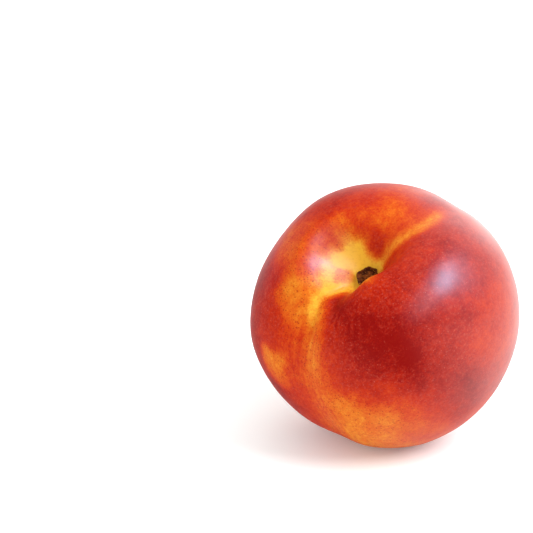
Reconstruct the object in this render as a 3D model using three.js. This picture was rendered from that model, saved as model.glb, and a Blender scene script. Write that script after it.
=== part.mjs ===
// A ripe nectarine, picked and whole, lying on a table with its stem end turned up and forward.
// Millimetres, +Z up. The origin is the middle of the flat spot that the fruit rests on, and the
// stem end leans towards -Y.
// The fruit is one solid: its skin, flesh and stone grew together and nothing of the inside shows.
// The dry remnant of the stem is a second solid, rooted in a socket in the floor of the cavity.

import * as THREE from "three";
import { mergeVertices } from "three/addons/utils/BufferGeometryUtils.js";

// Body of the fruit, measured from its centre before the cavity and the suture are sunk in it
const WAIST_RADIUS = 35.0; // across the stem axis
const POLE_RADIUS = 33.0; // along the stem axis
const SQUARENESS = 2.1; // 2 is a true ellipsoid, a little more is fuller at the shoulders

// How the fruit lies, in degrees, and where its centre stands over the resting spot
const LEAN = 45.5; // of the stem axis, from upright towards -Y
const HEADING = -16.3; // turns that lean towards -X
const TWIST = 48.4; // of the fruit about its own stem axis
const CENTRE = new THREE.Vector3(-1.96, 1.76, 33.19); // leaves the underside pressed 1 mm flat

// The suture is a furrow down both sides of the fruit. Azimuths turn about the stem axis.
const FAR_SUTURE = { azimuth: 0, swing: 19, rimDepth: 1.3, bigCheekSide: -1 };
const NEAR_SUTURE = { azimuth: 188, swing: 22, rimDepth: 2.7, bigCheekSide: 1 };
const SUTURE_DEPTH = 1.35; // at the waist
const SUTURE_FLANK_BIG = 5.5; // half-width of the steep flank, on the side of the big cheek
const SUTURE_FLANK_SMALL = 11; // half-width of the gentle flank, on the side of the small cheek
const SUTURE_FALL = 1.3; // how fast the flanks level out

// The two cheeks stand up as shoulders round the cavity, the big one higher
const BIG_CHEEK_AZIMUTH = 274;
const BIG_SHOULDER = 2.0;
const SMALL_SHOULDER = 1.0;
const SHOULDER_POLAR = 30; // degrees from the stem axis
const SHOULDER_SPREAD = 17;

// The stem cavity
const CAVITY_DEPTH = 12.2;
const CAVITY_RADIUS = 7.3; // where the wall is halfway down
const CAVITY_STEEPNESS = 3.2;
const CAVITY_WIDER_AT_SUTURE = 0.28;
const CAVITY_WIDER_AT_SMALL_CHEEK = 0.15;
const CAVITY_NARROWER_AT_BIG_CHEEK = 0.16;

// The socket that the stem remnant grows from
const SOCKET_DEPTH = 1.6;
const SOCKET_RADIUS = 2.9;
const SOCKET_EDGE = 0.5;

// The blossom end: a low point in a faint dish
const TIP_HEIGHT = 0.9;
const TIP_RADIUS = 3.4;
const DISH_DEPTH = 0.3;
const DISH_RADIUS = 7.0;
const DISH_SPREAD = 3.6;

// Soft swells and hollows of the grown fruit: where, how wide in degrees, and how high
const SWELLS = [
  { polar: 60, azimuth: 78, reach: 20, height: 0.6 },
  { polar: 62, azimuth: 108, reach: 16, height: -0.55 },
  { polar: 80, azimuth: 156, reach: 16, height: 0.7 },
  { polar: 100, azimuth: 192, reach: 26, height: -0.5 },
  { polar: 73, azimuth: 8, reach: 15, height: -0.65 },
  { polar: 112, azimuth: 230, reach: 16, height: -0.25 },
  { polar: 105, azimuth: 302, reach: 20, height: -0.15 },
  { polar: 118, azimuth: 60, reach: 26, height: 0.45 },
  { polar: 140, azimuth: 120, reach: 24, height: -0.4 },
];

// The dry stem remnant: a woody cup with a broken rim. Heights are over the cavity floor.
const STUB_ROOT_DEPTH = 1.3;
const STUB_ROOT_RADIUS = 2.2;
const STUB_NECK_RADIUS = 2.5;
const STUB_NECK_HEIGHT = 0.3;
const STUB_CROWN_RADIUS = 3.0;
const STUB_CROWN_HEIGHT = 1.5;
const STUB_CUP_RADIUS = 1.9;
const STUB_CUP_HEIGHT = 0.75;
const STUB_NUB_RADIUS = 0.7;
const STUB_NUB_HEIGHT = 1.15;
const STUB_SPLINTERS = 9;
const STUB_RAGGED_RADIUS = 0.1; // share of the crown radius
const STUB_RAGGED_HEIGHT = 0.45;
const STUB_SEED = 11;

// Facets
const MERIDIANS = 84;
const RING_RUNS = [
  { from: 0, to: 5.0, rings: 3 }, // floor of the socket
  { from: 5.0, to: 5.9, rings: 2 }, // wall of the socket
  { from: 5.9, to: 30, rings: 13 }, // wall of the cavity
  { from: 30, to: 180, rings: 30 }, // shoulders, waist and blossom end
];
const STUB_SIDES = 36;

const SKIN = new THREE.MeshStandardMaterial({ color: 0xc93a20, roughness: 0.36, metalness: 0 });
const DRY_STEM = new THREE.MeshStandardMaterial({ color: 0x4a2c17, roughness: 0.88, metalness: 0 });

const radians = THREE.MathUtils.degToRad;

function bell(x) {
  return Math.exp(-x * x);
}

function smooth(value, from, to) {
  return THREE.MathUtils.smoothstep(value, from, to);
}

// The turn from one azimuth to another, in degrees from -180 to 180
function turnFrom(start, azimuth) {
  return THREE.MathUtils.euclideanModulo(azimuth - start + 180, 360) - 180;
}

function direction(polar, azimuth) {
  return new THREE.Vector3().setFromSphericalCoords(1, radians(polar), radians(azimuth));
}

// Turn from the suture's own line, which swings sideways as it runs down from the cavity
function turnFromSuture(suture, polar, azimuth) {
  const line = suture.azimuth + suture.swing * smooth(polar, 25, 95);
  return turnFrom(line, azimuth);
}

// Depth of one side's furrow: deepest over the rim of the cavity, fading out at both ends
function furrow(suture, polar, azimuth, ringRadius) {
  const across = ringRadius * radians(turnFromSuture(suture, polar, azimuth));
  const onBigCheek = across * suture.bigCheekSide > 0;
  const flank = onBigCheek ? SUTURE_FLANK_BIG : SUTURE_FLANK_SMALL;
  const profile = Math.pow(1 + Math.pow(across / flank, 2), -SUTURE_FALL);
  const atRim = bell((polar - 32) / 20);
  const depth = SUTURE_DEPTH + (suture.rimDepth - SUTURE_DEPTH) * atRim;
  const fade = smooth(polar, 0, 26) * (1 - smooth(polar, 112, 177));
  return depth * fade * profile;
}

function swelling(polar, azimuth) {
  const here = direction(polar, azimuth);
  let height = 0;
  for (const swell of SWELLS) {
    const away = THREE.MathUtils.radToDeg(here.angleTo(direction(swell.polar, swell.azimuth)));
    height += swell.height * bell(away / swell.reach);
  }
  return height;
}

// Radius of the halfway line of the cavity wall: wide where the suture runs out of it
function cavityRadius(polar, azimuth) {
  const towardsBig = Math.cos(radians(azimuth - BIG_CHEEK_AZIMUTH));
  const nearSuture =
    bell(radians(turnFromSuture(FAR_SUTURE, polar, azimuth)) / 0.5) +
    bell(radians(turnFromSuture(NEAR_SUTURE, polar, azimuth)) / 0.5);
  const change =
    CAVITY_WIDER_AT_SUTURE * nearSuture +
    CAVITY_WIDER_AT_SMALL_CHEEK * Math.max(-towardsBig, 0) -
    CAVITY_NARROWER_AT_BIG_CHEEK * Math.max(towardsBig, 0);
  return CAVITY_RADIUS * (1 + change);
}

// A point of the skin, in the fruit's own frame: its centre at the origin, its stem axis along +Z
function skinPoint(polar, azimuth) {
  const across = Math.abs(Math.sin(radians(polar)));
  const along = Math.cos(radians(polar));
  const body =
    Math.pow(across / WAIST_RADIUS, SQUARENESS) +
    Math.pow(Math.abs(along) / POLE_RADIUS, SQUARENESS);
  const bodyRadius = Math.pow(body, -1 / SQUARENESS);

  const towardsBig = Math.cos(radians(azimuth - BIG_CHEEK_AZIMUTH));
  const shoulder = towardsBig > 0 ? BIG_SHOULDER * towardsBig : -SMALL_SHOULDER * towardsBig;
  const radius =
    bodyRadius -
    furrow(FAR_SUTURE, polar, azimuth, bodyRadius * across) -
    furrow(NEAR_SUTURE, polar, azimuth, bodyRadius * across) +
    shoulder * bell((polar - SHOULDER_POLAR) / SHOULDER_SPREAD) * smooth(polar, 0, 12);

  const fromAxis = radius * across;
  let sink = 0;
  if (along > 0) {
    const wall = Math.pow(fromAxis / cavityRadius(polar, azimuth), CAVITY_STEEPNESS);
    const socket = 1 - smooth(fromAxis, SOCKET_RADIUS, SOCKET_RADIUS + SOCKET_EDGE);
    sink = CAVITY_DEPTH / (1 + wall) + SOCKET_DEPTH * socket;
  } else {
    const tip = TIP_HEIGHT * bell(fromAxis / TIP_RADIUS);
    sink = tip - DISH_DEPTH * bell((fromAxis - DISH_RADIUS) / DISH_SPREAD);
  }

  const swollen = swelling(polar, azimuth);
  return new THREE.Vector3(
    (fromAxis + swollen * across) * Math.cos(radians(azimuth)),
    (fromAxis + swollen * across) * Math.sin(radians(azimuth)),
    (radius + swollen) * along - sink,
  );
}

// The fruit's own frame as it lies on the table
function lyingFrame() {
  const frame = new THREE.Matrix4().makeTranslation(CENTRE);
  frame.multiply(new THREE.Matrix4().makeRotationZ(radians(HEADING)));
  frame.multiply(new THREE.Matrix4().makeRotationX(radians(LEAN)));
  frame.multiply(new THREE.Matrix4().makeRotationZ(radians(TWIST)));
  return frame;
}

function ringPolars() {
  const polars = [0];
  for (const run of RING_RUNS) {
    for (let ring = 1; ring <= run.rings; ring += 1) {
      polars.push(run.from + ((run.to - run.from) * ring) / run.rings);
    }
  }
  return polars;
}

function closedGeometry(geometry) {
  geometry.deleteAttribute("normal");
  geometry.deleteAttribute("uv");
  const closed = mergeVertices(geometry, 1e-4);
  closed.computeVertexNormals();
  return closed;
}

// The whole fruit: a sphere's rings and meridians moved out to the skin, then let down on the table
function fruitGeometry(frame) {
  const polars = ringPolars();
  const sphere = new THREE.SphereGeometry(1, MERIDIANS, polars.length - 1);
  const position = sphere.getAttribute("position");
  for (let index = 0; index < position.count; index += 1) {
    const polar = polars[Math.floor(index / (MERIDIANS + 1))];
    const azimuth = ((index % (MERIDIANS + 1)) % MERIDIANS) * (360 / MERIDIANS);
    const point = skinPoint(polar, azimuth).applyMatrix4(frame);
    position.setXYZ(index, point.x, point.y, Math.max(point.z, 0));
  }
  return closedGeometry(sphere);
}

// Numbers from 0 to 1 that are the same on each run
function seededRandom(seed) {
  let state = seed;
  return () => {
    state = (state * 1664525 + 1013904223) % 4294967296;
    return state / 4294967296;
  };
}

// The broken rim: each splinter has its own height and reach, joined by smooth dips
function raggedRim() {
  const random = seededRandom(STUB_SEED);
  const splinters = [];
  for (let index = 0; index < STUB_SPLINTERS; index += 1) {
    splinters.push({ reach: random() * 2 - 1, height: random() * 2 - 1 });
  }
  return (azimuth) => {
    const place = (THREE.MathUtils.euclideanModulo(azimuth, 360) / 360) * STUB_SPLINTERS;
    const left = splinters[Math.floor(place) % STUB_SPLINTERS];
    const right = splinters[(Math.floor(place) + 1) % STUB_SPLINTERS];
    const share = smooth(place - Math.floor(place), 0, 1);
    return {
      reach: THREE.MathUtils.lerp(left.reach, right.reach, share),
      height: THREE.MathUtils.lerp(left.height, right.height, share),
    };
  };
}

// The stem remnant, upright, with its height zero on the floor of the cavity
function stubGeometry() {
  const profile = [
    new THREE.Vector2(0, -STUB_ROOT_DEPTH),
    new THREE.Vector2(STUB_ROOT_RADIUS, -STUB_ROOT_DEPTH),
    new THREE.Vector2(STUB_NECK_RADIUS, STUB_NECK_HEIGHT),
    new THREE.Vector2(STUB_CROWN_RADIUS, STUB_CROWN_HEIGHT - 0.35),
    new THREE.Vector2(STUB_CROWN_RADIUS - 0.15, STUB_CROWN_HEIGHT),
    new THREE.Vector2(STUB_CROWN_RADIUS - 0.6, STUB_CROWN_HEIGHT - 0.1),
    new THREE.Vector2(STUB_CUP_RADIUS, STUB_CUP_HEIGHT),
    new THREE.Vector2(STUB_NUB_RADIUS + 0.3, STUB_CUP_HEIGHT),
    new THREE.Vector2(STUB_NUB_RADIUS, STUB_NUB_HEIGHT),
    new THREE.Vector2(0, STUB_NUB_HEIGHT + 0.1),
  ];
  const turned = new THREE.LatheGeometry(profile, STUB_SIDES);
  turned.rotateX(Math.PI / 2);
  const rim = raggedRim();
  const position = turned.getAttribute("position");
  for (let index = 0; index < position.count; index += 1) {
    const point = new THREE.Vector3().fromBufferAttribute(position, index);
    const fromAxis = Math.hypot(point.x, point.y);
    const ragged = rim(THREE.MathUtils.radToDeg(Math.atan2(point.y, point.x)));
    const raggedShare = smooth(fromAxis, STUB_CUP_RADIUS, STUB_CROWN_RADIUS);
    const aboveNeck = smooth(point.z, STUB_NECK_HEIGHT, STUB_CROWN_HEIGHT);
    const widen = 1 + STUB_RAGGED_RADIUS * ragged.reach * raggedShare * aboveNeck;
    const lift = STUB_RAGGED_HEIGHT * ragged.height * raggedShare * aboveNeck;
    position.setXYZ(index, point.x * widen, point.y * widen, point.z + lift);
  }
  return closedGeometry(turned);
}

const nectarine = new THREE.Group();
const frame = lyingFrame();

const fruit = new THREE.Mesh(fruitGeometry(frame), SKIN);
fruit.name = "fruit";
nectarine.add(fruit);

const stemAxis = new THREE.Group();
stemAxis.applyMatrix4(frame);
nectarine.add(stemAxis);

const stub = new THREE.Mesh(stubGeometry(), DRY_STEM);
stub.name = "stem_stub";
stub.position.z = POLE_RADIUS - CAVITY_DEPTH;
stemAxis.add(stub);

export default nectarine;
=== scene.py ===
"""A ripe nectarine lying on a pale table, laid out as a small add-on: one operator a piece."""

import math
import random

import bpy
from mathutils import Matrix, Vector, noise


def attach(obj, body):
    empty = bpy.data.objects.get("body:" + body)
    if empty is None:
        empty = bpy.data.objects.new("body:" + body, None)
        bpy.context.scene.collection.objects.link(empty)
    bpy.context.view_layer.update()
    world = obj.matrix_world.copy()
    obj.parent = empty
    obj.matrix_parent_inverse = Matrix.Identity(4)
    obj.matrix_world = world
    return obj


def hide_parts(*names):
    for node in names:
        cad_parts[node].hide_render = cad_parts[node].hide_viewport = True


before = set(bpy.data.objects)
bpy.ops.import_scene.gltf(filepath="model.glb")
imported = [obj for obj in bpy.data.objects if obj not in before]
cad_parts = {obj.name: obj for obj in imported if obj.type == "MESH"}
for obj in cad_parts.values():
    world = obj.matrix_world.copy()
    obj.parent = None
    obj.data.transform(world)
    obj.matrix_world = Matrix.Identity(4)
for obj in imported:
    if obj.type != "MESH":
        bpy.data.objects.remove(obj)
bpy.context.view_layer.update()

bl_info = {
    "name": "Nectarine",
    "version": (1, 0, 0),
    "blender": (4, 5, 0),
    "location": "3D View > Sidebar > Nectarine",
    "description": "Builds a nectarine with its skin, its dry stem remnant and a pale stage",
    "category": "Add Mesh",
}

MM = 0.001

# How the fruit lies: its own frame has the stem axis along +Z and its centre at the origin
LEAN = math.radians(45.5)
HEADING = math.radians(-16.3)
TWIST = math.radians(48.4)
CENTRE = Vector((-1.96, 1.76, 33.19)) * MM
LYING = (
    Matrix.Translation(CENTRE)
    @ Matrix.Rotation(HEADING, 4, "Z")
    @ Matrix.Rotation(LEAN, 4, "X")
    @ Matrix.Rotation(TWIST, 4, "Z")
)
FRUIT_RADIUS = 35 * MM
CAVITY_FLOOR = 20.8 * MM  # height of the stem remnant's seat, over the fruit's centre

# The suture's lines: azimuth at the cavity, and how far they swing as they run down
NEAR_SUTURE = (188.0, 22.0)
FAR_SUTURE = (0.0, 19.0)

# How the rim of the cavity is pushed outwards, or with a minus inwards, and raised: azimuth of the
# middle and reach in degrees, and how far and how much higher in millimetres
RIM_PUSHES = {
    "overhanging lip of the big cheek": (256, 64, -3.7, 1.2),
    "wide mouth towards the small cheek": (120, 56, 3.8, 0.0),
}

# The crease beside the big cheek's lip leaves the cavity this far from the near suture's line, in
# millimetres, and joins the line between these two polar angles, in degrees
CREASE_PLACE = -3.0
CREASE_JOINS = (27, 42)
# Its width and depth, and the place, width and fullness of the lip beside it, in millimetres
CREASE_WIDTH = 1.0
CREASE_DEPTH = 0.6
LIP_PLACE = 2.6
LIP_WIDTH = 2.4
LIP_FULLNESS = 0.6

# The floor of the stem's socket is lifted, fully inside the first of these distances from the stem
# axis and not at all outside the second, and the mesh is left alone beyond the reach: millimetres
SOCKET_LIFT = 1.6
SOCKET_EDGE = (2.9, 3.4)
SOCKET_REACH = 3.6

# Distances from the stem axis over which the pushes on the rim begin, and over which they end, in
# millimetres
RIM_BEGINS = (3.8, 8.5)
RIM_ENDS = (10.5, 21.0)

# The cup of the stem remnant: how far each ring is inset and raised, in millimetres
CUP_RINGS = ((0.45, -0.15), (0.35, -0.55), (0.75, -0.1), (0.25, 0.4), (0.35, -0.25))

# Soft swells and flats: polar and azimuth of the middle and reach in degrees, and millimetres
# outwards, or with a minus inwards
SWELLS = {
    "full far shoulder": (56, 3, 26, 1.2),
    "full right flank": (68, 316, 20, 0.6),
    "filled far suture": (58, 9, 11, 0.6),
    "flat under the right flank": (84, 274, 26, -0.9),
}

# Patches of wax, which mirrors the light: polar and azimuth of the middle, how far each reaches,
# all in degrees, and the share of the skin's shine there
WAX_PATCHES = {
    "right flank": (71, 324, 63, 0.88),
    "near cavity wall": (22, 141, 12, 0.52),
    "far cavity wall": (21, 102, 12, 0.62),
    "front": (62, 215, 34, 0.10),
    "left shoulder": (48, 120, 28, 0.12),
    "top": (60, 55, 40, 0.20),
    "far shoulder": (57, 6, 29, 0.60),
    "underside of the right flank": (92, 260, 42, 0.34),
    "back": (115, 80, 80, 0.40),
}

# Patches of the blush, and one of painted light, in the fruit's own frame: polar and azimuth of
# the middle, how far it reaches, all in degrees, and how much redder (or with a minus yellower) the
# skin is there
BLUSH_PATCHES = {
    "heart of the big cheek": (41, 243, 31, 0.22),
    "crimson right foot": (80, 264, 28, 0.14),
    "big cheek": (52, 285, 72, 0.20),
    "underside of the big cheek": (85, 228, 47, -0.32),
    "red left flank": (75, 142, 45, 0.28),
    "sunless patch": (68, 179, 14, -0.48),
    "red foot of the left flank": (86, 194, 32, 0.30),
    "orange left shoulder": (31, 163, 17, -0.28),
    "yellow cavity": (10, 118, 19, -0.62),
    "flush on the cavity wall": (15, 143, 4.5, 0.30),
    "red lip of the big cheek": (23, 196, 14, 0.24),
    "red smear in the cavity": (17, 33, 7, 0.12),
    "red top": (42, 76, 26, 0.10),
    "orange far wall of the cavity": (21, 95, 12, -0.22),
    "right shoulder": (36, 325, 32, 0.08),
    "bright right flank": (72, 306, 26, -0.12),
    "orange beyond the cavity": (36, 36, 22, -0.13),
    # Painted light: paler skin inside the big cheek's overhanging lip, to lift the shade that the
    # lip casts there
    "painted light inside the big cheek's lip": (22, 330, 13, -0.12),
    "orange left of the cavity": (38, 117, 16, -0.12),
    "brown arc beyond the far suture": (50, 12, 11, 0.14),
    "golden back": (104, 62, 40, -0.22),
    "red far shoulder": (62, 48, 44, 0.10),
    "far underside": (125, 330, 55, 0.12),
    "blossom end": (180, 0, 45, -0.26),
}
# Blush where there is no patch, and how far the edges of the patches stray
GROUND_BLUSH = 0.60
STRAY = 0.46
# How much yellower the skin is round the stem and on the lines that follow the sutures
CAVITY_FLOOR_PALER = 0.20
NEAR_BAND_PALER = 0.06
FAR_STREAK_PALER = 0.42
FOLD_PALER = 0.26
LIP_EDGE_PALER = 0.20
# How strongly the finer marks make the skin redder or yellower
BLOTCHES = 0.32
MOTTLE = 0.30
GRAIN = 0.36
SUTURE_STREAKS = 0.45


def screen_colour(code):
    """A colour as it shows on a screen, such as c9391f, in the linear values that shaders use."""
    parts = [int(code[i : i + 2], 16) / 255 for i in (0, 2, 4)]
    linear = [p / 12.92 if p <= 0.04045 else ((p + 0.055) / 1.055) ** 2.4 for p in parts]
    return (*linear, 1.0)


def colour_property(name, description, code):
    return bpy.props.FloatVectorProperty(
        name=name,
        description=description,
        subtype="COLOR",
        size=4,
        min=0.0,
        max=1.0,
        default=screen_colour(code),
    )


def length_property(name, description, default):
    return bpy.props.FloatProperty(
        name=name, description=description, unit="LENGTH", default=default, precision=5
    )


class SkinSettings(bpy.types.PropertyGroup):
    """Sizes and colours of the skin."""

    butter: colour_property("Butter", "Sunless skin in the stem cavity", "e0ac34")
    amber: colour_property("Amber", "Ground colour between the cavity and the blush", "d88a28")
    orange: colour_property("Orange", "Thinnest blush", "cc6416")
    vermilion: colour_property("Vermilion", "Light blush", "c44c14")
    scarlet: colour_property("Scarlet", "Even blush", "b82c0a")
    crimson: colour_property("Crimson", "Deep blush", "a01a0a")
    garnet: colour_property("Garnet", "Darkest blush", "780606")
    dark_speck: colour_property("Dark specks", "Specks on orange skin", "902410")
    pale_speck: colour_property("Pale specks", "Pores on red skin", "e2a08c")
    roughness: bpy.props.FloatProperty(
        name="Roughness", description="Of the waxy skin", default=0.42, min=0.0, max=1.0
    )
    ripple: length_property("Ripple", "Height of the soft unevenness of the skin", 0.07 * MM)


class StemSettings(bpy.types.PropertyGroup):
    """Sizes and colours of the dry stem remnant."""

    root_radius: length_property("Root radius", "Where it grows from the fruit", 2.3 * MM)
    crown_radius: length_property("Crown radius", "At the broken rim", 3.15 * MM)
    crown_height: length_property("Crown height", "Over the cavity floor", 1.9 * MM)
    root_depth: length_property("Root depth", "Below the cavity floor", 1.2 * MM)
    bark: colour_property("Bark", "Outside and broken rim", "66300c")
    pith: colour_property("Pith", "Torn fibres", "a87030")
    char: colour_property("Dark wood", "Cracks and the cup", "3a1402")


class StageSettings(bpy.types.PropertyGroup):
    """The table, the lights and the camera."""

    table_size: length_property("Table size", "Edge of the square table", 8.0)
    table: colour_property("Table", "Colour of the table", "f4faf8")
    view_distance: length_property("Viewing distance", "From the fruit's centre", 0.46)
    view_elevation: bpy.props.FloatProperty(
        name="Viewing elevation",
        description="Of the camera over the table",
        subtype="ANGLE",
        default=math.radians(20),
    )
    surroundings: bpy.props.FloatProperty(
        name="Surroundings", description="Strength of the white room", default=1.3, min=0.0
    )
    table_glow: bpy.props.FloatProperty(
        name="Table glow", description="Light that the table itself gives", default=0.16, min=0.0
    )


# The lights: where each is, seen from the fruit, how wide it looks, its strength, its tint, and
# whether surfaces show its light and its reflection
LIGHTS = {
    "key_light": (Vector((0.72, -0.21, 0.67)), 40, 3.2, (0.9, 0.96, 1.0), True, False),
    "fill_light": (Vector((-0.45, -0.50, 0.74)), 110, 2.8, (1.0, 1.0, 1.0), True, False),
    "glint": (Vector((0.69, -0.28, 0.67)), 27, 5.4, (0.38, 0.70, 1.0), False, True),
    "wide_glint": (Vector((0.62, 0.10, 0.78)), 100, 0.6, (0.60, 0.80, 1.0), False, True),
    "front_glint": (Vector((0.42, -0.76, 0.50)), 30, 1.6, (0.80, 0.85, 1.0), False, True),
    "left_rim_glint": (Vector((-0.79, 0.57, 0.20)), 50, 0.7, (0.55, 0.65, 1.0), False, True),
    "far_rim_glint": (Vector((0.34, 0.87, 0.35)), 50, 0.5, (0.50, 0.95, 1.0), False, True),
}
# The parts of the room that are dim: which way they are, the cosines at which they begin and are
# at their darkest, and the share of the light that they lose
DIM_PARTS = {
    "behind the camera": (Vector((0.0, -0.94, 0.34)), -0.45, 0.5, 0.92),
    "to the left": (Vector((-0.98, 0.05, 0.0)), -0.05, 0.8, 0.88),
}

# The photograph's frame: its side and the place of the fruit's centre, in pixels, and its scale
PHOTO_SIDE = 533
CENTRE_ACROSS = 386
CENTRE_DOWN = 313
PIXELS_PER_METRE = 3800
SENSOR = 36.0


class Number:
    """A number that varies over a surface. Arithmetic on it adds Math nodes."""

    def __init__(self, finish, socket):
        self.finish = finish
        self.socket = socket

    def math(self, operation, *others):
        sockets = {"Value": self}
        for name, other in zip(("Value_001", "Value_002"), others):
            sockets[name] = other
        return self.finish.number("ShaderNodeMath", {"operation": operation}, sockets)

    def reversed_math(self, operation, other):
        sockets = {"Value": other, "Value_001": self}
        return self.finish.number("ShaderNodeMath", {"operation": operation}, sockets)

    def __add__(self, other):
        return self.math("ADD", other)

    __radd__ = __add__

    def __sub__(self, other):
        return self.math("SUBTRACT", other)

    def __rsub__(self, other):
        return self.reversed_math("SUBTRACT", other)

    def __mul__(self, other):
        return self.math("MULTIPLY", other)

    __rmul__ = __mul__

    def bell(self, width):
        """1 at nought, falling away smoothly on both sides."""
        return (self * self * (-1 / width**2)).math("EXPONENT")

    def smooth(self, low, high):
        """0 at low and 1 at high, or the other way round, with soft ends."""
        return self.finish.number(
            "ShaderNodeMapRange",
            {"interpolation_type": "SMOOTHSTEP"},
            {"Value": self, "From Min": low, "From Max": high},
        )


class Finish:
    """The node tree of a material, or of the room's light, in the making."""

    def __init__(self, owner):
        owner.use_nodes = True
        self.owner = owner
        self.tree = owner.node_tree
        self.tree.nodes.clear()

    def add(self, kind, settings, sockets):
        """One node: its settings first, then the values or links of its sockets."""
        node = self.tree.nodes.new(kind)
        for name, setting in settings.items():
            if name == "stops":
                self.set_stops(node.color_ramp, setting)
            else:
                setattr(node, name, setting)
        for name, value in sockets.items():
            socket = next(s for s in node.inputs if s.identifier == name)
            if isinstance(value, Number):
                self.tree.links.new(value.socket, socket)
            elif isinstance(value, bpy.types.NodeSocket):
                self.tree.links.new(value, socket)
            else:
                socket.default_value = value
        return node

    @staticmethod
    def set_stops(ramp, stops):
        ramp.interpolation = "B_SPLINE" if len(stops) > 2 else "EASE"
        while len(ramp.elements) < len(stops):
            ramp.elements.new(1.0)
        for element, (place, colour) in zip(ramp.elements, stops):
            element.position = place
            element.color = colour

    def number(self, kind, settings, sockets, output=0):
        return Number(self, self.add(kind, settings, sockets).outputs[output])

    def dot(self, vector, direction):
        settings = {"operation": "DOT_PRODUCT"}
        sockets = {"Vector": vector, "Vector_001": direction}
        return self.number("ShaderNodeVectorMath", settings, sockets, "Value")

    def vector_math(self, operation, vector, other):
        settings = {"operation": operation}
        sockets = {"Vector": vector, "Vector_001": other}
        return self.add("ShaderNodeVectorMath", settings, sockets).outputs["Vector"]

    def combine(self, x, y, z):
        return self.add("ShaderNodeCombineXYZ", {}, {"X": x, "Y": y, "Z": z}).outputs[0]

    def noise(self, vector, size, detail=2.0, output="Fac"):
        """Soft noise whose lumps are about that size, in the vector's own units."""
        sockets = {"Vector": vector, "Scale": 1 / size, "Detail": detail}
        return self.number("ShaderNodeTexNoise", {}, sockets, output)

    def mix(self, share, first, second):
        settings = {"data_type": "RGBA", "clamp_factor": True}
        sockets = {"Factor_Float": share, "A_Color": first, "B_Color": second}
        node = self.add("ShaderNodeMix", settings, sockets)
        return next(s for s in node.outputs if s.identifier == "Result_Color")

    def bump(self, height, distance, strength=1.0):
        sockets = {"Height": height, "Distance": distance, "Strength": strength}
        return self.add("ShaderNodeBump", {}, sockets).outputs["Normal"]

    def surface(self, sockets):
        shader = self.add("ShaderNodeBsdfPrincipled", {}, sockets)
        self.add("ShaderNodeOutputMaterial", {}, {"Surface": shader.outputs[0]})
        return self.owner


def direction(polar, azimuth):
    """A unit vector of the fruit's own frame, from angles in degrees."""
    polar, azimuth = math.radians(polar), math.radians(azimuth)
    flat = math.sin(polar)
    return Vector((flat * math.cos(azimuth), flat * math.sin(azimuth), math.cos(polar)))


def fruit_place(finish):
    """A point's place in the fruit's own frame, in millimetres."""
    turn = LYING.to_3x3().inverted()
    place = finish.add("ShaderNodeTexCoord", {}, {}).outputs["Object"]
    mapping = {
        "Vector": place,
        "Scale": (1 / MM,) * 3,
        "Rotation": turn.to_euler("XYZ"),
        "Location": turn @ CENTRE * (-1 / MM),
    }
    return finish.add("ShaderNodeMapping", {"vector_type": "POINT"}, mapping).outputs[0]


def suture_distance(finish, outward, polar, line):
    """Millimetres across the surface from one suture's line, positive anticlockwise."""
    azimuth, swing = line
    middle = direction(90, azimuth + swing / 2)
    side = direction(90, azimuth + swing / 2 + 90)
    turn = finish.dot(outward, side).math("ARCTAN2", finish.dot(outward, middle))
    bend = polar.smooth(25, 95) * math.radians(swing) - math.radians(swing / 2)
    waist = polar.math("RADIANS").math("SINE") * (FRUIT_RADIUS / MM)
    return (turn - bend) * waist


def blush(finish, place, outward, polar):
    """How red the skin is, from 0, butter yellow, to 1, darkest garnet."""
    wander = finish.noise(place, 14, 3.0, "Color").socket
    wander = finish.vector_math("SUBTRACT", wander, (0.5, 0.5, 0.5))
    wander = finish.vector_math("MULTIPLY", wander, (STRAY,) * 3)
    strayed = finish.vector_math("NORMALIZE", finish.vector_math("ADD", outward, wander), (0, 0, 0))
    amount = GROUND_BLUSH
    for polar_angle, azimuth, reach, redder in BLUSH_PATCHES.values():
        near = finish.dot(strayed, direction(polar_angle, azimuth))
        amount = near.smooth(math.cos(math.radians(reach)), 1.0) * redder + amount

    amount = amount - polar.smooth(15, 8) * CAVITY_FLOOR_PALER
    near_line = suture_distance(finish, outward, polar, NEAR_SUTURE)
    near_band = near_line.bell(4.6) * polar.smooth(34, 48) * polar.smooth(82, 62)
    crease = near_line - (1 - polar.smooth(*CREASE_JOINS)) * CREASE_PLACE
    fold = (crease + 1.5).bell(1.7) * polar.smooth(11, 17) * polar.smooth(44, 28)
    lip_edge = (crease - 3.0).bell(3.8) * polar.smooth(22, 36) * polar.smooth(66, 50)
    far_line = suture_distance(finish, outward, polar, FAR_SUTURE)
    far_line = far_line - polar.smooth(32, 18) * 2.0
    far_streak = far_line.bell(2.0) * polar.smooth(6, 12) * polar.smooth(54, 42)
    amount = amount - near_band * NEAR_BAND_PALER - far_streak * FAR_STREAK_PALER
    return amount - fold * FOLD_PALER - lip_edge * LIP_EDGE_PALER


def streaks(finish, outward, polar):
    """Fine stripes that run out of the cavity along the meridians."""
    around = finish.vector_math("MULTIPLY", outward, (1, 1, 0))
    around = finish.vector_math("NORMALIZE", around, (0, 0, 0))
    along = finish.combine(0.0, 0.0, polar * 0.035)
    fine = finish.vector_math("MULTIPLY", around, (13, 13, 0))
    fine = finish.vector_math("ADD", fine, along)
    return finish.noise(fine, 1.0, 3.0) - 0.5


def suture_streaks(finish, outward, polar):
    """Fine stripes that run down beside the near suture."""
    beside = suture_distance(finish, outward, polar, NEAR_SUTURE)
    lanes = finish.noise(finish.combine(beside * 0.9, polar * 0.035, 0.0), 1.0, 3.0) - 0.5
    return lanes * beside.bell(8.0) * polar.smooth(28, 45)


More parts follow.
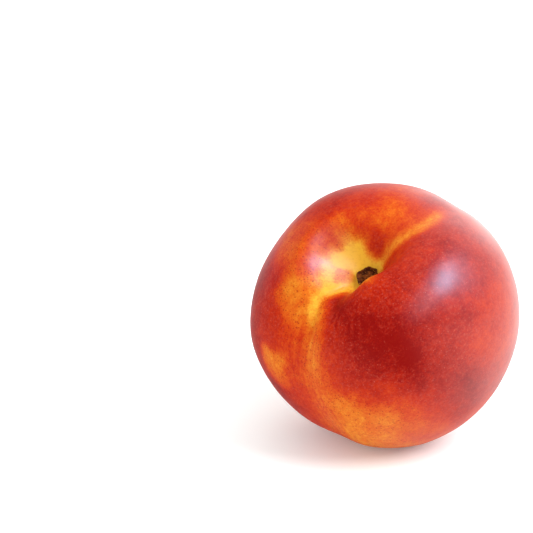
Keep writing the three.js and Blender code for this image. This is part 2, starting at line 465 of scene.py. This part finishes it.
def specks(finish, place, spacing, size, seed_shift):
    """Small round dots, 1 in the middle of each."""
    shifted = finish.vector_math("ADD", place, (seed_shift,) * 3)
    sockets = {"Vector": shifted, "Scale": 1 / spacing, "Randomness": 1.0}
    distance = finish.number("ShaderNodeTexVoronoi", {}, sockets, "Distance")
    return distance.smooth(size / spacing, size / spacing * 0.45)


def skin_finish(settings):
    finish = Finish(bpy.data.materials.new("nectarine_skin"))
    place = fruit_place(finish)
    outward = finish.vector_math("NORMALIZE", place, (0, 0, 0))
    polar = finish.dot(outward, (0, 0, 1)).math("ARCCOSINE").math("DEGREES")

    red = blush(finish, place, outward, polar)
    stripes = streaks(finish, outward, polar)
    blotches = finish.noise(place, 6.0, 3.0) - 0.5
    mottle = finish.noise(place, 1.6, 3.0) - 0.5
    grain = finish.noise(place, 0.42, 2.0) - 0.5
    near_top = polar.smooth(56, 26)
    red = red + blotches * BLOTCHES + mottle * MOTTLE + grain * GRAIN
    red = red + stripes * (near_top * 0.20 + 0.02)
    red = red + suture_streaks(finish, outward, polar) * SUTURE_STREAKS

    ramp = finish.add(
        "ShaderNodeValToRGB",
        {
            "stops": (
                (0.00, settings.butter),
                (0.16, settings.amber),
                (0.32, settings.orange),
                (0.47, settings.vermilion),
                (0.62, settings.scarlet),
                (0.80, settings.crimson),
                (1.00, settings.garnet),
            )
        },
        {"Fac": red},
    )
    speckled = finish.dot(outward, direction(62, 185)).smooth(-0.1, 0.7) * 0.8 + 0.2
    dark = specks(finish, place, 0.78, 0.24, 0.0) * red.smooth(0.12, 0.38) * red.smooth(0.95, 0.6)
    pale = specks(finish, place, 0.85, 0.17, 7.3) * red.smooth(0.55, 0.8)
    dust = finish.noise(place, 0.7, 4.0).smooth(0.40, 0.80) * red.smooth(0.50, 0.75)
    soot = finish.noise(finish.vector_math("ADD", place, (9, 4, 2)), 0.7, 4.0).smooth(0.45, 0.80)
    dusty = dust * red.smooth(1.05, 0.75) * 0.07
    colour = finish.mix(dusty, ramp.outputs["Color"], settings.pale_speck)
    colour = finish.mix(soot * 0.20, colour, settings.dark_speck)
    colour = finish.mix(dark * speckled * 0.8, colour, settings.dark_speck)
    colour = finish.mix(pale * red.smooth(1.1, 0.8) * 0.12, colour, settings.pale_speck)

    shine = 0.01
    for polar_angle, azimuth, reach, share in WAX_PATCHES.values():
        near = finish.dot(outward, direction(polar_angle, azimuth))
        shine = near.smooth(math.cos(math.radians(reach)), 1.0) * share + shine
    pores = finish.noise(place, 0.45, 2.0)
    swells = finish.noise(place, 3.5, 2.0)
    height = pores * 0.9 + swells * 0.9
    return finish.surface(
        {
            "Base Color": colour,
            "Roughness": settings.roughness,
            "Normal": finish.bump(height, 0.06 * MM, 0.5),
            "IOR": 1.45,
            "Specular IOR Level": 0.02,
            "Subsurface Weight": 0.1,
            "Subsurface Radius": (1.0, 0.35, 0.12),
            "Subsurface Scale": 1.2 * MM,
            "Coat Weight": shine,
            "Coat Roughness": 0.34,
        }
    )


def stem_finish(settings):
    finish = Finish(bpy.data.materials.new("dry_stem"))
    place = fruit_place(finish)
    fibres = finish.vector_math("MULTIPLY", place, (3.2, 3.2, 0.9))
    grain = finish.noise(fibres, 1.0, 4.0)
    blotches = finish.noise(place, 1.3, 3.0)
    cracks = finish.noise(fibres, 2.2, 2.0)
    colour = finish.mix(blotches.smooth(0.40, 0.62), settings.char, settings.bark)
    colour = finish.mix(grain.smooth(0.56, 0.72) * 0.75, colour, settings.pith)
    return finish.surface(
        {
            "Base Color": colour,
            "Roughness": grain.smooth(0.2, 0.8) * 0.25 + 0.62,
            "Normal": finish.bump(grain * 0.5 + cracks, 0.25 * MM, 0.8),
            "Specular IOR Level": 0.05,
        }
    )


def table_finish(settings):
    finish = Finish(bpy.data.materials.new("pale_table"))
    return finish.surface(
        {
            "Base Color": settings.table,
            "Roughness": 0.75,
            "Emission Color": settings.table,
            "Emission Strength": settings.table_glow,
        }
    )


def select_only(piece):
    bpy.ops.object.select_all(action="DESELECT")
    piece.select_set(True)
    bpy.context.view_layer.objects.active = piece


def apply_modifier(piece, name, kind, **settings):
    """Adds one modifier to the piece, sets it and applies it."""
    modifier = piece.modifiers.new(name, kind)
    for key, value in settings.items():
        setattr(modifier, key, value)
    select_only(piece)
    bpy.ops.object.modifier_apply(modifier=name)


def claim(piece, node, material):
    """The finished piece takes its material, rides on the object and stands for its CAD node."""
    piece.data.materials.clear()
    piece.data.materials.append(material)
    select_only(piece)
    bpy.ops.object.shade_smooth()
    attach(piece, "root")
    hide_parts(node)


def outward_normals(mesh):
    """The vertex normals before any vertex moves."""
    return [vertex.normal.copy() for vertex in mesh.vertices]


def smooth_step(value, low, high):
    share = min(max((value - low) / (high - low), 0.0), 1.0)
    return share * share * (3 - 2 * share)


class NECTARINE_OT_fruit(bpy.types.Operator):
    """Make the whole fruit from the frame's solid, with a finer skin."""

    bl_idname = "nectarine.fruit"
    bl_label = "Fruit"

    def execute(self, context):
        settings = context.scene.nectarine_skin
        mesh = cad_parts["fruit"].data.copy()
        fruit = bpy.data.objects.new("nectarine_fruit", mesh)
        context.scene.collection.objects.link(fruit)
        select_only(fruit)
        bpy.ops.object.mode_set(mode="EDIT")
        bpy.ops.mesh.select_all(action="SELECT")
        bpy.ops.mesh.remove_doubles(threshold=0.001 * MM)
        bpy.ops.mesh.tris_convert_to_quads(
            face_threshold=math.radians(60), shape_threshold=math.radians(80)
        )
        bpy.ops.mesh.normals_make_consistent(inside=False)
        bpy.ops.object.mode_set(mode="OBJECT")
        self.close_skin_round_stem(mesh)
        self.swell(mesh)
        self.shape_rim(mesh)
        apply_modifier(fruit, "finer", "SUBSURF", levels=2, render_levels=2)
        self.fold_lip(mesh)
        self.ripple(mesh, settings.ripple)
        claim(fruit, "fruit", skin_finish(settings))
        return {"FINISHED"}

    @staticmethod
    def close_skin_round_stem(mesh):
        """Lifts the floor of the stem's socket, so that the skin meets the stem with no gap."""
        upright = LYING.inverted()
        for vertex in mesh.vertices:
            point = upright @ vertex.co
            from_axis = Vector((point.x, point.y)).length / MM
            if point.z > 0 and from_axis < SOCKET_REACH:
                point.z += SOCKET_LIFT * MM * (1 - smooth_step(from_axis, *SOCKET_EDGE))
                vertex.co = LYING @ point

    @staticmethod
    def swell(mesh):
        """The soft swells and flats, which leave the flat spot that the fruit rests on."""
        upright = LYING.inverted()
        for vertex, normal in zip(mesh.vertices, outward_normals(mesh)):
            outward = (upright @ vertex.co).normalized()
            push = 0.0
            for polar, azimuth, reach, far in SWELLS.values():
                away = math.degrees(outward.angle(direction(polar, azimuth)))
                push += far * math.exp(-((away / reach) ** 2))
            vertex.co += normal * (push * smooth_step(vertex.co.z / MM, 0.0, 6.0) * MM)

    @staticmethod
    def shape_rim(mesh):
        """Pushes the rim of the cavity in or out, seen along the stem axis, and raises it."""
        upright = LYING.inverted()
        for vertex in mesh.vertices:
            point = upright @ vertex.co
            from_axis = Vector((point.x, point.y)).length / MM
            begins = smooth_step(from_axis, *RIM_BEGINS)
            near_rim = begins * (1 - smooth_step(from_axis, *RIM_ENDS))
            if point.z < 0 or near_rim == 0:
                continue
            azimuth = math.degrees(math.atan2(point.y, point.x))
            push = 0.0
            rise = 0.0
            for middle, reach, far, higher in RIM_PUSHES.values():
                away = (azimuth - middle + 180) % 360 - 180
                share = math.exp(-((away / reach) ** 2))
                push += far * share
                rise += higher * share * MM
            widen = 1 + push * near_rim / from_axis
            lifted = point.z + rise * near_rim
            vertex.co = LYING @ Vector((point.x * widen, point.y * widen, lifted))

    @staticmethod
    def fold_lip(mesh):
        """A crease beside the near suture, with the big cheek's lip full beside it."""
        upright = LYING.inverted()
        azimuth, swing = NEAR_SUTURE
        middle = direction(90, azimuth + swing / 2)
        side = direction(90, azimuth + swing / 2 + 90)
        for vertex, normal in zip(mesh.vertices, outward_normals(mesh)):
            outward = (upright @ vertex.co).normalized()
            polar = math.degrees(math.acos(outward.z))
            share = smooth_step(polar, 12, 18) * (1 - smooth_step(polar, 34, 50))
            if share == 0:
                continue
            turn = math.atan2(outward.dot(side), outward.dot(middle))
            bend = math.radians(swing) * (smooth_step(polar, 25, 95) - 0.5)
            beside = (turn - bend) * math.sin(math.radians(polar)) * FRUIT_RADIUS / MM
            beside -= CREASE_PLACE * (1 - smooth_step(polar, *CREASE_JOINS))
            crease = math.exp(-((beside / CREASE_WIDTH) ** 2))
            lip = math.exp(-(((beside - LIP_PLACE) / LIP_WIDTH) ** 2))
            vertex.co += normal * (lip * LIP_FULLNESS - crease * CREASE_DEPTH) * share * MM

    @staticmethod
    def ripple(mesh, height):
        """Soft unevenness, finer than the solid's own swells, that leaves the flat spot flat."""
        for vertex, normal in zip(mesh.vertices, outward_normals(mesh)):
            lift = noise.noise(vertex.co / (7 * MM)) + 0.4 * noise.noise(vertex.co / (3 * MM))
            vertex.co += normal * (lift * height * smooth_step(vertex.co.z / MM, 0.0, 2.0))


class NECTARINE_OT_stem(bpy.types.Operator):
    """Make the dry, broken stem remnant in the cavity."""

    bl_idname = "nectarine.stem"
    bl_label = "Stem remnant"

    sides = 42
    corners = 6

    def execute(self, context):
        settings = context.scene.nectarine_stem
        bpy.ops.object.select_all(action="DESELECT")
        bpy.ops.mesh.primitive_circle_add(
            vertices=self.sides,
            radius=settings.root_radius,
            fill_type="NGON",
            location=(0, 0, -settings.root_depth),
        )
        stem = context.object
        stem.name = "nectarine_stem"
        bpy.ops.object.transform_apply(location=True, rotation=True, scale=True)
        bpy.ops.object.mode_set(mode="EDIT")
        bpy.ops.mesh.select_all(action="SELECT")
        rise = settings.crown_height + settings.root_depth
        flare = (settings.crown_radius / settings.root_radius) ** (1 / 3)
        for share in (0.45, 0.3, 0.25):
            self.extrude(rise * share, flare)
        self.extrude(0.12 * MM, 0.95)
        for width, lift in CUP_RINGS:
            self.inset(width * MM, lift * MM)
        bpy.ops.mesh.poke()
        bpy.ops.mesh.select_all(action="SELECT")
        bpy.ops.mesh.normals_make_consistent(inside=False)
        bpy.ops.object.mode_set(mode="OBJECT")
        self.break_rim(stem.data, settings)
        apply_modifier(stem, "finer", "SUBSURF", levels=2, render_levels=2)
        self.roughen(stem.data)
        stem.matrix_world = LYING @ Matrix.Translation((0, 0, CAVITY_FLOOR))
        select_only(stem)
        bpy.ops.object.transform_apply(location=True, rotation=True, scale=True)
        claim(stem, "stem_stub", stem_finish(settings))
        return {"FINISHED"}

    @staticmethod
    def extrude(rise, widen):
        bpy.ops.mesh.extrude_region_move(TRANSFORM_OT_translate={"value": (0, 0, rise)})
        bpy.ops.transform.resize(value=(widen, widen, 1))

    @staticmethod
    def inset(width, lift):
        bpy.ops.mesh.inset(thickness=width)
        bpy.ops.transform.translate(value=(0, 0, lift))

    def break_rim(self, mesh, settings):
        """Flat sides with sharp corners, and splinters of uneven height on the rim."""
        draw = random.Random(29)
        corners = []
        for index in range(self.corners):
            azimuth = (index + draw.uniform(-0.28, 0.28)) / self.corners * math.tau
            out = draw.uniform(0.93, 1.13)
            corner = Vector((math.cos(azimuth) * out, math.sin(azimuth) * out, draw.uniform(-1, 1)))
            corners.append(corner)
        for vertex in mesh.vertices:
            place = vertex.co
            from_axis = Vector((place.x, place.y)).length
            if from_axis < 0.01 * MM:
                continue
            ray = Vector((place.x, place.y)) / from_axis
            for first, second in zip(corners, corners[1:] + corners[:1]):
                if first.xy.cross(ray) >= 0 and ray.cross(second.xy) > 0:
                    break
            side = second.xy - first.xy
            out = first.xy.cross(side) / ray.cross(side)
            share = (ray * out - first.xy).length / side.length
            up = first.z * (1 - share) + second.z * share
            rim = smooth_step(from_axis, 0.4 * settings.crown_radius, 0.9 * settings.crown_radius)
            aloft = smooth_step(place.z, -0.6 * MM, 0.8 * settings.crown_height)
            widen = 1 + (out - 1) * rim * aloft
            place.x *= widen
            place.y *= widen
            place.z += (0.45 * up * rim + draw.uniform(-0.13, 0.13)) * aloft * MM

    @staticmethod
    def roughen(mesh):
        """Fibres along the sides and torn grain on top."""
        for vertex, normal in zip(mesh.vertices, outward_normals(mesh)):
            place = vertex.co
            fibre = noise.noise(Vector((place.x / 0.35, place.y / 0.35, place.z / 1.6)) / MM)
            lump = noise.noise(place / (0.9 * MM))
            aloft = smooth_step(place.z, -0.3 * MM, 0.6 * MM)
            vertex.co += normal * ((0.10 * fibre + 0.12 * lump) * aloft * MM)


class NECTARINE_OT_stage(bpy.types.Operator):
    """Lay the pale table, set the soft lights and place the camera."""

    bl_idname = "nectarine.stage"
    bl_label = "Stage"

    def execute(self, context):
        settings = context.scene.nectarine_stage
        self.lay_table(context, settings)
        self.light_room(context, settings)
        self.place_camera(context, settings)
        context.scene.view_settings.view_transform = "Standard"
        return {"FINISHED"}

    @staticmethod
    def lay_table(context, settings):
        bpy.ops.object.select_all(action="DESELECT")
        bpy.ops.mesh.primitive_plane_add(size=settings.table_size, location=(0, 0, -0.1 * MM))
        table = context.object
        table.name = "table"
        bpy.ops.object.transform_apply(location=True, rotation=True, scale=True)
        table.data.materials.append(table_finish(settings))

    @staticmethod
    def light_room(context, settings):
        """A room with dim parts, two suns that give light and five that only show as reflections."""
        world = bpy.data.worlds.new("white_room")
        context.scene.world = world
        room = Finish(world)
        outward = room.add("ShaderNodeTexCoord", {}, {}).outputs["Generated"]
        glow = settings.surroundings
        for towards, begins, darkest, share in DIM_PARTS.values():
            glow = (1 - room.dot(outward, towards).smooth(begins, darkest) * share) * glow
        sky = room.add("ShaderNodeBackground", {}, {"Color": (1, 1, 1, 1), "Strength": glow})
        room.add("ShaderNodeOutputWorld", {}, {"Surface": sky.outputs[0]})

        for name, (towards, width, strength, tint, lit, mirrored) in LIGHTS.items():
            bpy.ops.object.light_add(type="SUN", location=CENTRE + towards)
            lamp = context.object
            lamp.name = name
            lamp.rotation_euler = towards.to_track_quat("Z", "Y").to_euler()
            lamp.data.angle = math.radians(width)
            lamp.data.energy = strength
            lamp.data.color = tint
            lamp.visible_diffuse = lit
            lamp.visible_glossy = mirrored

    @staticmethod
    def place_camera(context, settings):
        """The camera aims beside the fruit, so that the fruit falls where the photograph has it."""
        elevation = settings.view_elevation
        back = Vector((0, -math.cos(elevation), math.sin(elevation)))
        up = Vector((0, math.sin(elevation), math.cos(elevation)))
        left_by = (CENTRE_ACROSS - PHOTO_SIDE / 2) / PIXELS_PER_METRE
        up_by = (CENTRE_DOWN - PHOTO_SIDE / 2) / PIXELS_PER_METRE
        aim = CENTRE + Vector((-left_by, 0, 0)) + up * up_by
        place = CENTRE + back * settings.view_distance
        bpy.ops.object.camera_add(location=place)
        camera = context.object
        camera.name = "camera"
        camera.rotation_euler = (place - aim).to_track_quat("Z", "Y").to_euler()
        camera.data.sensor_width = SENSOR
        focal_pixels = PIXELS_PER_METRE * settings.view_distance
        camera.data.lens = focal_pixels / PHOTO_SIDE * SENSOR
        camera.data.clip_start = 0.01
        context.scene.camera = camera


class NECTARINE_PT_panel(bpy.types.Panel):
    """Lists the operators and the values that a user may change."""

    bl_label = "Nectarine"
    bl_idname = "NECTARINE_PT_panel"
    bl_space_type = "VIEW_3D"
    bl_region_type = "UI"
    bl_category = "Nectarine"

    def draw(self, context):
        for operator in OPERATORS:
            self.layout.operator(operator.bl_idname)
        for name, group in SETTINGS.items():
            box = self.layout.box()
            for key in group.__annotations__:
                box.prop(getattr(context.scene, name), key)


OPERATORS = (NECTARINE_OT_stage, NECTARINE_OT_fruit, NECTARINE_OT_stem)
SETTINGS = {
    "nectarine_skin": SkinSettings,
    "nectarine_stem": StemSettings,
    "nectarine_stage": StageSettings,
}


def register():
    for group in SETTINGS.values():
        bpy.utils.register_class(group)
    for operator in OPERATORS:
        bpy.utils.register_class(operator)
    bpy.utils.register_class(NECTARINE_PT_panel)
    for name, group in SETTINGS.items():
        setattr(bpy.types.Scene, name, bpy.props.PointerProperty(type=group))


def unregister():
    for name in SETTINGS:
        delattr(bpy.types.Scene, name)
    bpy.utils.unregister_class(NECTARINE_PT_panel)
    for kind in (*OPERATORS, *SETTINGS.values()):
        bpy.utils.unregister_class(kind)


def main():
    register()
    bpy.ops.nectarine.stage()
    bpy.ops.nectarine.fruit()
    bpy.ops.nectarine.stem()


if __name__ == "__main__":
    main()
